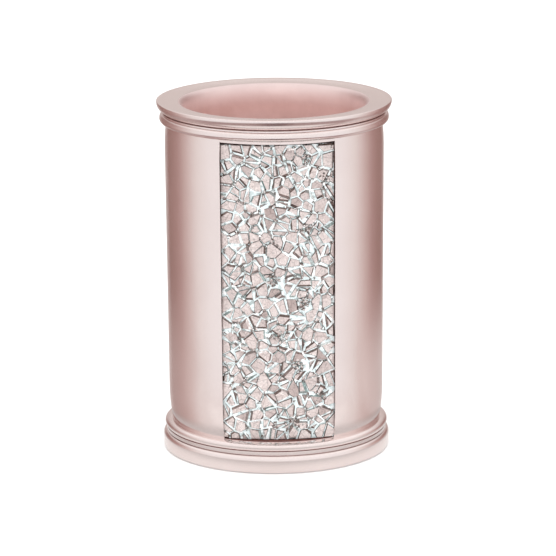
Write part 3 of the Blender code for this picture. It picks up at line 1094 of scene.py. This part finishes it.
@dataclass
class Mosaic:
    """The panel of mirror chips in its bowed pocket, with the white bed between them."""

    bottom: float
    top: float
    width: float = 35.95 * MM
    bow: float = 62.5 * MM
    face: float = 31.44 * MM
    gaps: Pair = (0.12 * MM, 0.95 * MM)
    columns: int = 10
    rows: int = 27
    seed: int = 11
    scatter: float = 0.46
    stagger: float = 0.25
    joint: Pair = (0.16 * MM, 0.72 * MM)
    joint_reach: int = 4
    least_side: float = 0.95 * MM
    split_share: float = 0.32
    split_gap: Pair = (0.22 * MM, 0.45 * MM)
    split_off: Pair = (-0.5 * MM, 0.5 * MM)
    nip_share: float = 0.34
    nip_depth: Pair = (0.45, 0.7)
    nip_turn: Pair = (-0.5, 0.5)
    lapped_share: float = 0.12
    lapped_growth: float = 1.22
    lapped_rise: float = 0.16 * MM
    lapped_margin: float = 1.0 * MM
    slivers: int = 520
    sliver_size: Pair = (0.22 * MM, 0.72 * MM)
    sliver_sides: tuple[int, ...] = (3, 4, 4, 5)
    sliver_length: Pair = (1.0, 1.8)
    sliver_jitter: Pair = (-0.2, 0.2)
    sliver_margin: float = 0.9 * MM
    sliver_stray: float = 0.15 * MM
    sliver_rise: float = 0.12 * MM
    sliver_finishes: tuple[int, ...] = (0, 1, 1, 2, 2, 3)
    crushed: int = 10
    crushed_across: Pair = (-0.1, 0.43)
    crushed_up: Pair = (0.2, 0.8)
    crushed_reach: float = 1.8 * MM
    crushed_slivers: int = 34
    crushed_stray: float = 0.55
    crushed_rise: Pair = (0.02 * MM, 0.14 * MM)
    crushed_finishes: tuple[int, ...] = (0, 0, 1, 1, 2, 2)
    thickness: float = 0.95 * MM
    rim: float = 0.30 * MM
    rim_spread: Pair = (0.8, 1.2)
    narrow: Pair = (0.11 * MM, 0.25 * MM)
    wide: Pair = (0.40 * MM, 0.90 * MM)
    wide_share: float = 0.20
    dark_facet_share: float = 0.75
    least_bevel: float = 0.02 * MM
    bevel_shrink: float = 0.6
    tilt: float = math.radians(5.0)
    tilt_spread: float = 0.45
    proud: Pair = (-0.10 * MM, 0.05 * MM)
    tone_curve: float = 1.5
    bed_drop: float = 0.38 * MM
    bed_back: float = 1.25 * MM
    bed_steps: tuple[int, int] = (60, 160)
    bed_crumple: float = 0.05 * MM
    bed_seed: int = 3
    bed_front: float = -0.5
    crease: float = 50.0
    TONE = "chip_tone"
    LEAST_RUN = 0.12 * MM
    LEAST_CROSS = 0.05

    def __post_init__(self) -> None:
        """Works out the arc that the panel spans and starts its own run of chance."""
        self.centre = self.bow - self.face
        self.span = 2 * self.bow * math.asin(self.width / 2 / self.bow)
        self.chance = random.Random(self.seed)
        self.crossings: list[Vector] = []
        self.bottom += self.gaps[0]
        self.top -= self.gaps[1]
        self.crushes = [Vector((self.chance.uniform(*self.crushed_across) * self.span,
                                self.bottom + (number + self.chance.uniform(*self.crushed_up)) / self.crushed
                                * (self.top - self.bottom))) for number in range(self.crushed)]

    def on_bow(self, across: float, height: float, proud: float) -> Vector:
        """A point of the panel.

        Args:
            across: How far along the bow from its middle.
            height: The height.
            proud: How far in front of the bowed face.

        Returns:
            The point.
        """
        angle = across / self.bow
        radius = self.bow + proud
        return Vector((radius * math.sin(angle), self.centre - radius * math.cos(angle), height))

    def middles(self) -> list[Vector]:
        """Middles of the chips on the flattened panel.

        Returns:
            A point for each chip.
        """
        wide, tall = self.span / self.columns, (self.top - self.bottom) / self.rows
        found = []
        for row in range(self.rows):
            shift = self.stagger if row % 2 else -self.stagger
            for column in range(self.columns):
                across = column + 0.5 + shift + self.chance.uniform(-self.scatter, self.scatter)
                up = row + 0.5 + self.chance.uniform(-self.scatter, self.scatter)
                found.append(Vector((across * wide - self.span / 2, self.bottom + up * tall)))
        return found

    @staticmethod
    def middle_of(outline: list[Vector]) -> Vector:
        """The mean of an outline's corners."""
        return sum(outline, Vector((0, 0))) / len(outline)

    @staticmethod
    def trimmed(outline: list[Vector], point: Vector, away: Vector) -> list[Vector]:
        """What is left of a convex outline on the near side of a line.

        Args:
            outline: The corners, in order.
            point: A point of the line.
            away: The direction square to the line that is cut off.

        Returns:
            The corners that are left.
        """
        kept = []
        for here, there in zip(outline, outline[1:] + outline[:1]):
            near, far = (here - point).dot(away), (there - point).dot(away)
            if near <= 0:
                kept.append(here)
            if near * far < 0:
                kept.append(here.lerp(there, near / (near - far)))
        return kept

    @classmethod
    def inset(cls, outline: list[Vector], offsets: list[float]) -> list[Vector] | None:
        """A convex outline with each side moved inwards by its own offset.

        Args:
            outline: The corners, counter-clockwise.
            offsets: How far each side moves.

        Returns:
            The new corners, or None where a side would vanish.
        """
        lines = []
        for here, there, offset in zip(outline, outline[1:] + outline[:1], offsets):
            along = (there - here).normalized()
            lines.append((here + Vector((-along.y, along.x)) * offset, along))
        corners = []
        for (p, d), (q, e) in zip(lines[-1:] + lines[:-1], lines):
            cross = d.x * e.y - d.y * e.x
            if abs(cross) < cls.LEAST_CROSS:
                return None
            corners.append(p + d * (((q.x - p.x) * e.y - (q.y - p.y) * e.x) / cross))
        for here, there, (_, along) in zip(corners, corners[1:] + corners[:1], lines):
            if (there - here).dot(along) < cls.LEAST_RUN:
                return None
        return corners

    def tidy(self, outline: list[Vector]) -> list[Vector]:
        """An outline without its short sides.

        Args:
            outline: Its corners.

        Returns:
            The corners that are left.
        """
        kept: list[Vector] = []
        for corner in outline:
            if not kept or (corner - kept[-1]).length > self.least_side:
                kept.append(corner)
        while len(kept) > 3 and (kept[0] - kept[-1]).length <= self.least_side:
            kept.pop()
        return kept

    def outlines(self) -> list[list[Vector]]:
        """The outline of each chip on the flattened panel, with its joints taken off.

        Returns:
            The outlines.
        """
        middles = self.middles()
        half = self.span / 2
        panel = [Vector(corner) for corner in ((-half, self.bottom), (half, self.bottom),
                                               (half, self.top), (-half, self.top))]
        reach = self.joint_reach * self.span / self.columns
        found = []
        for middle in middles:
            if any((middle - crush).length < self.crushed_reach for crush in self.crushes):
                continue
            outline = [corner.copy() for corner in panel]
            for other in middles:
                away = other - middle
                if 0 < away.length < reach:
                    joint = self.chance.uniform(*self.joint)
                    side = (middle + other) / 2 - away.normalized() * joint / 2
                    outline = self.trimmed(outline, side, away)
                if len(outline) < 3:
                    break
            if len(outline) >= 3:
                self.crossings += outline
                found += self.shattered(outline)
        tidied = [self.tidy(outline) for outline in found]
        return [outline for outline in tidied if len(outline) >= 3]

    def shattered(self, outline: list[Vector]) -> list[list[Vector]]:
        """A cell as it breaks: some nipped at a corner, some split in two.

        Args:
            outline: The cell's corners.

        Returns:
            The outlines of the one or two chips that it gives.
        """
        if self.chance.random() < self.nip_share:
            corner = self.chance.choice(outline)
            middle = self.middle_of(outline)
            turned = (corner - middle).normalized()
            turned.rotate(Matrix.Rotation(self.chance.uniform(*self.nip_turn), 2))
            cut = middle + (corner - middle) * self.chance.uniform(*self.nip_depth)
            outline = self.trimmed(outline, cut, turned)
        if self.chance.random() >= self.split_share or len(outline) < 4:
            return [outline]
        angle = self.chance.uniform(0, math.pi)
        away = Vector((math.cos(angle), math.sin(angle)))
        gap = away * (self.chance.uniform(*self.split_gap) / 2)
        off = self.middle_of(outline) + away * self.chance.uniform(*self.split_off)
        halves = [self.trimmed(outline, off - gap, away), self.trimmed(outline, off + gap, -away)]
        return [half for half in halves if len(half) >= 3]

    def sliver(self, near: Vector, stray: float) -> list[Vector]:
        """The outline of a small splinter.

        Args:
            near: Where it lies.
            stray: How far off it may land.

        Returns:
            Its corners.
        """
        margin = self.sliver_margin
        middle = near + Vector((self.chance.gauss(0, stray), self.chance.gauss(0, stray)))
        middle.x = min(max(middle.x, margin - self.span / 2), self.span / 2 - margin)
        middle.y = min(max(middle.y, self.bottom + margin), self.top - margin)
        sides = self.chance.choice(self.sliver_sides)
        turned = self.chance.uniform(0, math.tau)
        long = self.chance.uniform(*self.sliver_length)
        corners = []
        for index in range(sides):
            angle = math.tau * (index + self.chance.uniform(*self.sliver_jitter)) / sides
            reach = self.chance.uniform(*self.sliver_size)
            corner = Vector((math.cos(angle) * reach * long, math.sin(angle) * reach))
            corner.rotate(Matrix.Rotation(turned, 2))
            corners.append(middle + corner)
        return corners

    def lay_chip(self, shape: bmesh.types.BMesh, outline: list[Vector], raised: float = 0.0,
                 face_finish: int = 0) -> None:
        """Cuts one chip with bevelled sides and sets it on the bow, slightly askew.

        Args:
            shape: The mesh that it goes into.
            outline: Its outline on the flattened panel.
            raised: How far it stands in front of its neighbours.
            face_finish: The finish of its face.
        """
        count, middle = len(outline), self.middle_of(outline)
        wides = [self.chance.random() < self.wide_share for _ in outline]
        offsets = [self.chance.uniform(*(self.wide if wide else self.narrow)) for wide in wides]
        crown = self.inset(outline, offsets)
        while crown is None and max(offsets) > self.least_bevel:
            offsets = [offset * self.bevel_shrink for offset in offsets]
            crown = self.inset(outline, offsets)
        if crown is None:
            return
        lean = Vector([self.chance.gauss(0, self.tilt_spread) for _ in range(2)]) * self.tilt
        proud = raised + self.chance.uniform(*self.proud)
        rim = self.rim * self.chance.uniform(*self.rim_spread)
        rings = []
        for corners, depth in ((crown, 0.0), (outline, rim), (outline, self.thickness)):
            lifts = [proud + lean.dot(corner - middle) - depth for corner in corners]
            rings.append([shape.verts.new(self.on_bow(corner.x, corner.y, lift))
                          for corner, lift in zip(corners, lifts)])
        top, edge, back = rings
        tone = shape.faces.layers.float.get(self.TONE)
        face = shape.faces.new(top)
        face.material_index = face_finish
        face[tone] = self.chance.random()
        for index in range(count):
            after = (index + 1) % count
            bevel = shape.faces.new((edge[index], edge[after], top[after], top[index]))
            # Some broad sides take the darker painted refraction, the rest the lighter one.
            bevel.material_index = 2 if wides[index] and self.chance.random() < self.dark_facet_share else 1
            bevel[tone] = self.chance.random()**self.tone_curve
            shape.faces.new((back[index], back[after], edge[after], edge[index])).material_index = 1
        shape.faces.new(tuple(reversed(back))).material_index = 1

    def lap(self, outline: list[Vector]) -> tuple[list[Vector], float]:
        """Lets a chip lap over its neighbours, unless it is at the edge of the panel.

        Args:
            outline: Its corners.

        Returns:
            The corners, and how far it is raised.
        """
        side, low, high = self.span / 2, self.bottom + self.lapped_margin, self.top - self.lapped_margin
        if not all(abs(corner.x) < side - self.lapped_margin and low < corner.y < high for corner in outline):
            return outline, 0.0
        middle = self.middle_of(outline)
        return [middle + (corner - middle) * self.lapped_growth for corner in outline], self.lapped_rise

    def build_chips(self) -> Thing:
        """Models all the chips as one piece.

        Returns:
            The piece.
        """
        shape = bmesh.new()
        shape.faces.layers.float.new(self.TONE)
        for outline in self.outlines():
            lapped = self.chance.random() < self.lapped_share
            outline, raised = self.lap(outline) if lapped else (outline, 0.0)
            self.lay_chip(shape, outline, raised)
        for _ in range(self.slivers):
            outline = self.sliver(self.chance.choice(self.crossings), self.sliver_stray)
            self.lay_chip(shape, outline, self.sliver_rise, self.chance.choice(self.sliver_finishes))
        for crush in self.crushes:
            for _ in range(self.crushed_slivers):
                outline = self.sliver(crush, self.crushed_reach * self.crushed_stray)
                raised = self.chance.uniform(*self.crushed_rise)
                self.lay_chip(shape, outline, raised, self.chance.choice(self.crushed_finishes))
        bmesh.ops.recalc_face_normals(shape, faces=list(shape.faces))
        mesh = bpy.data.meshes.new("mosaic_chips")
        shape.to_mesh(mesh)
        shape.free()
        chips = add_to_scene("mosaic_chips", mesh)
        dress(chips, MirrorFace(), GLASS_FACET, DARK_FACET, FrostBed("frosted_face", frit_scale=700.0))
        return chips

    def build_bed(self) -> Thing:
        """Models the setting bed: a bowed slab with a crumpled face.

        Returns:
            The bed.
        """
        across, up = self.bed_steps
        height = self.top - self.bottom
        line = [tuple(self.on_bow(-self.span / 2, self.bottom + height * step / up, -self.bed_drop))
                for step in range(up + 1)]
        bed = sweep(line, "mosaic_bed", across, -self.span / self.bow, (0, self.centre, 0))
        bpy.ops.mesh.extrude_region_move(TRANSFORM_OT_translate={"value": (0, self.bed_back, 0)})
        bpy.ops.mesh.select_all(action="SELECT")
        bpy.ops.mesh.normals_make_consistent(inside=False)
        pick(bed, Part.FACES, lambda face: face.normal.y < self.bed_front)
        bpy.ops.transform.vertex_random(offset=self.bed_crumple, uniform=0.0, normal=1.0, seed=self.bed_seed)
        close_edit()
        dress(bed, FrostBed())
        smooth(bed, self.crease)
        return bed

    def build(self) -> None:
        """Models the chips and the bed and hands them over."""
        patches = sorted(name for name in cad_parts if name.startswith("mosaic_patch"))
        hand_over(self.build_chips(), Slot.GLASS, *patches)
        hand_over(self.build_bed(), Slot.GLASS)


# --------------------------------------------------------------------------- the foot pad


@dataclass
class FootPad:
    """The foam disc in the recess under the foot."""

    radius: float
    thickness: float
    edge: float = 0.22 * MM
    sides: int = 192
    rings: Pair = (0.9, 0.55)
    flat: float = 0.9
    rim_share: float = 0.999
    crease: float = 50.0

    def is_rim(self, edge: Edge) -> bool:
        """Whether an edge runs round the outside of the top or the bottom.

        Args:
            edge: An edge of the open mesh.

        Returns:
            Whether it does.
        """
        first, second = (vert.co for vert in edge.verts)
        inner_end = min(math.hypot(place.x, place.y) for place in (first, second))
        return inner_end > self.radius * self.rim_share and abs(first.z - second.z) < self.thickness / 2

    def build(self) -> None:
        """Models the pad, dresses it and hands it over."""
        clear_selection()
        bpy.ops.mesh.primitive_cylinder_add(vertices=self.sides, radius=self.radius, depth=self.thickness,
                                            location=(0, 0, self.thickness / 2))
        pad = bpy.context.object
        pad.name = "foot_pad"
        choose(pad)
        bpy.ops.object.transform_apply(location=True, rotation=True, scale=True)
        edit(pad)
        pick(pad, Part.FACES, lambda face: abs(face.normal.z) > self.flat)
        for share in self.rings:
            bpy.ops.mesh.inset(thickness=self.radius * (1 - share) / 2, depth=0.0)
        pick(pad, Part.EDGES, self.is_rim)
        bpy.ops.mesh.bevel(offset=self.edge, segments=3, profile=0.6, affect="EDGES")
        close_edit()
        dress(pad, GreyFoam())
        smooth(pad, self.crease)
        hand_over(pad, Slot.FOAM, "base_pad")


# --------------------------------------------------------------------------- the studio


@dataclass
class Studio:
    """The pale floor, the soft light and the camera."""

    distance: float = 1.15
    elevation: float = 13.58
    azimuth: float = -1.8
    lens: float = 228.4
    aim_height: float = 55.75 * MM
    aim_right: float = 0.9 * MM
    roll: float = -0.4
    clip: Pair = (0.05, 30.0)
    floor_size: float = 9.0
    sheen_size: float = 1.2
    sheen_level: float = -0.02 * MM
    sheen_most: float = 0.95
    sheen_near: Pair = (0.050, 0.066)
    sheen_front: Pair = (0.085, 0.130)
    sheen_front_back: Pair = (-0.045, -0.015)
    sheen_far_most: float = 0.60
    sheen_far: Pair = (0.12, 0.27)
    sheen_far_left: float = 0.55
    sheen_far_across: Pair = (-0.05, 0.06)
    sheen_far_back: Pair = (-0.035, 0.015)
    sheen_dip: float = 0.62
    sheen_dip_in: Pair = (0.040, 0.053)
    sheen_dip_out: Pair = (0.055, 0.063)
    sheen_tint: Stops = ((0.3, (0.74, 0.64, 0.62)), (0.9, (0.94, 0.92, 0.91)))
    around: Stops = ((0.0, (0.99, 1.0, 1.01)), (0.40, (0.925, 0.93, 0.94)), (0.50, (0.835, 0.80, 0.79)),
                     (0.60, (0.605, 0.475, 0.455)), (0.68, (0.41, 0.255, 0.235)), (0.76, (0.33, 0.19, 0.17)),
                     (0.84, (0.30, 0.17, 0.15)), (0.92, (0.57, 0.48, 0.46)), (1.0, (0.65, 0.575, 0.55)))
    beneath: Stops = ((0.0, (0.13, 0.08, 0.08)), (0.05, (0.17, 0.10, 0.10)), (0.13, (0.34, 0.25, 0.24)),
                      (0.5, (0.38, 0.27, 0.26)), (1.0, (0.30, 0.20, 0.19)))
    level: Stops = ((0.0, BLACK), (0.035, BLACK), (0.06, WHITE), (0.29, WHITE), (0.35, BLACK))
    overhead: Colour = (1.05, 1.05, 1.05)
    overhead_rise: Pair = (0.25, 0.65)
    side_share: float = 0.3
    side_lift: float = 0.14
    lamps: tuple[tuple[str, Place, float, float], ...] = (("top_lamp", (0.0, -0.2, 2.0), 1.6, 22.0),
                                                          ("front_lamp", (0.0, -1.6, 0.9), 1.0, 10.0))

    def build_floor(self) -> None:
        """Lays the floor."""
        clear_selection()
        bpy.ops.mesh.primitive_plane_add(size=self.floor_size, location=(0, 0, 0))
        floor = bpy.context.object
        floor.name = "studio_floor"
        floor.data.materials.append(PaleFloor().make())
        floor.visible_glossy = False

    def sheen_glow(self) -> Material:
        """The light that the table throws back: bright at the foot, dimmer behind and to one side.

        Returns:
            The material of the sheen.
        """
        material = bpy.data.materials.new("table_sheen")
        material.use_nodes = True
        board = NodeBoard(material.node_tree)
        board.tree.nodes.remove(board.tree.nodes["Principled BSDF"])
        place = board.add("TexCoord").outputs["Object"]
        length = board.add("VectorMath")
        length.operation = "LENGTH"
        board.link(place, length.inputs[0])
        reach = length.outputs["Value"]
        right, back, _ = board.axes(place)
        soft = "SMOOTHSTEP"
        foot = board.spread(reach, self.sheen_most, 0.0, *self.sheen_near, soft)
        wide = board.spread(reach, self.sheen_most, 0.0, *self.sheen_front, soft)
        ahead = board.math("MULTIPLY", wide, board.spread(back, 1.0, 0.0, *self.sheen_front_back, soft))
        far = board.spread(reach, self.sheen_far_most, 0.0, *self.sheen_far, soft)
        beside = board.spread(right, self.sheen_far_left, 1.0, *self.sheen_far_across, soft)
        behind = board.spread(back, 0.0, 1.0, *self.sheen_far_back, soft)
        far = board.math("MULTIPLY", board.math("MULTIPLY", far, beside), behind)
        most = board.math("MAXIMUM", board.math("MAXIMUM", foot, ahead), far)
        dip = board.math("MAXIMUM", board.spread(reach, 1.0, self.sheen_dip, *self.sheen_dip_in, soft),
                         board.spread(reach, self.sheen_dip, 1.0, *self.sheen_dip_out, soft))
        glow, clear, mixed = board.add("Emission"), board.add("BsdfTransparent"), board.add("MixShader")
        board.link(board.ramp(most, self.sheen_tint), glow.inputs["Color"])
        board.link(dip, glow.inputs["Strength"])
        for source, into in zip((most, clear.outputs[0], glow.outputs[0]), mixed.inputs):
            board.link(source, into)
        board.link(mixed.outputs[0], board.tree.nodes["Material Output"].inputs["Surface"])
        return material

    def build_table_sheen(self) -> None:
        """Lays the near part of the table that only glossy surfaces mirror."""
        clear_selection()
        bpy.ops.mesh.primitive_plane_add(size=self.sheen_size, location=(0, 0, self.sheen_level))
        sheen = bpy.context.object
        sheen.name = "table_sheen"
        sheen.data.materials.append(self.sheen_glow())
        sheen.visible_camera = False
        sheen.visible_diffuse = False
        sheen.visible_shadow = False
        sheen.visible_transmission = False

    def build_camera(self) -> None:
        """Sets up the camera."""
        rise, turned = math.radians(self.elevation), math.radians(self.azimuth)
        back = Vector((math.sin(turned) * math.cos(rise), -math.cos(turned) * math.cos(rise), math.sin(rise)))
        right = Vector((math.cos(turned), math.sin(turned), 0))
        data = bpy.data.cameras.new("studio_camera")
        data.lens = self.lens
        data.sensor_width = 36.0
        data.clip_start, data.clip_end = self.clip
        camera = add_to_scene("studio_camera", data)
        stand = Vector((0, 0, self.aim_height)) + right * self.aim_right + back * self.distance
        facing = (-back).to_track_quat("-Z", "Y").to_matrix()
        camera.matrix_world = Matrix.Translation(stand) \
            @ (facing @ Matrix.Rotation(math.radians(self.roll), 3, "Z")).to_4x4()
        bpy.context.scene.camera = camera

    def build_sky(self) -> None:
        """Makes the soft surround: bright in front, dim and warm at the sides, lit again behind."""
        scene = bpy.context.scene
        scene.world = bpy.data.worlds.new("studio_surround")
        scene.world.use_nodes = True
        board = NodeBoard(scene.world.node_tree)
        right, back, up = board.axes(board.add("TexCoord").outputs["Generated"])
        angle = board.math("ARCTAN2", right, board.math("MULTIPLY", back, -1.0))
        share = board.math("DIVIDE", board.math("ABSOLUTE", angle, 0.0), math.pi)
        aside = board.math("MINIMUM", share, self.side_share)
        aside = board.math("MULTIPLY", aside, self.side_lift / self.side_share)
        height = board.spread(board.math("ADD", up, aside), 0.0, 1.0, -1.0, 1.0)
        level = board.ramp(height, self.level)
        sides = board.mix(level, board.ramp(share, self.around), board.ramp(share, self.beneath))
        everything = board.mix(board.spread(up, 0.0, 1.0, *self.overhead_rise), sides, self.overhead)
        background = board.tree.nodes["Background"]
        board.link(everything, background.inputs["Color"])
        background.inputs["Strength"].default_value = 1.0
        scene.view_settings.view_transform = "Standard"
        scene.view_settings.look = "None"

    def build_lamp(self, name: str, place: Place, size: float, power: float) -> None:
        """Hangs a soft lamp that mirrors don't show.

        Args:
            name: Its name.
            place: Where it hangs; it faces the tumbler.
            size: The side of its square face.
            power: Its power in watts.
        """
        data = bpy.data.lights.new(name, "AREA")
        data.shape = "SQUARE"
        data.size = size
        data.energy = power
        lamp = add_to_scene(name, data)
        lamp.location = place
        aim = Vector((0, 0, self.aim_height)) - lamp.location
        lamp.rotation_euler = aim.to_track_quat("-Z", "Y").to_euler()
        lamp.visible_glossy = False
        lamp.visible_camera = False

    def build(self) -> None:
        """Builds the whole studio."""
        self.build_floor()
        self.build_table_sheen()
        self.build_sky()
        for lamp in self.lamps:
            self.build_lamp(*lamp)
        self.build_camera()


def main() -> None:
    """Builds the tumbler and its studio."""
    logging.basicConfig(level=logging.INFO, format="%(name)s: %(message)s")
    body_low, body_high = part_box("tumbler_body")
    pad_low, pad_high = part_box("base_pad")
    cup = Cup(height=body_high.z, lip_radius=body_high.x, foot_bottom=body_low.z)
    cup.build()
    Mosaic(bottom=cup.pocket_bottom, top=cup.pocket_top).build()
    FootPad(radius=pad_high.x, thickness=pad_high.z - pad_low.z).build()
    Studio().build()


if __name__ == "__main__":
    main()
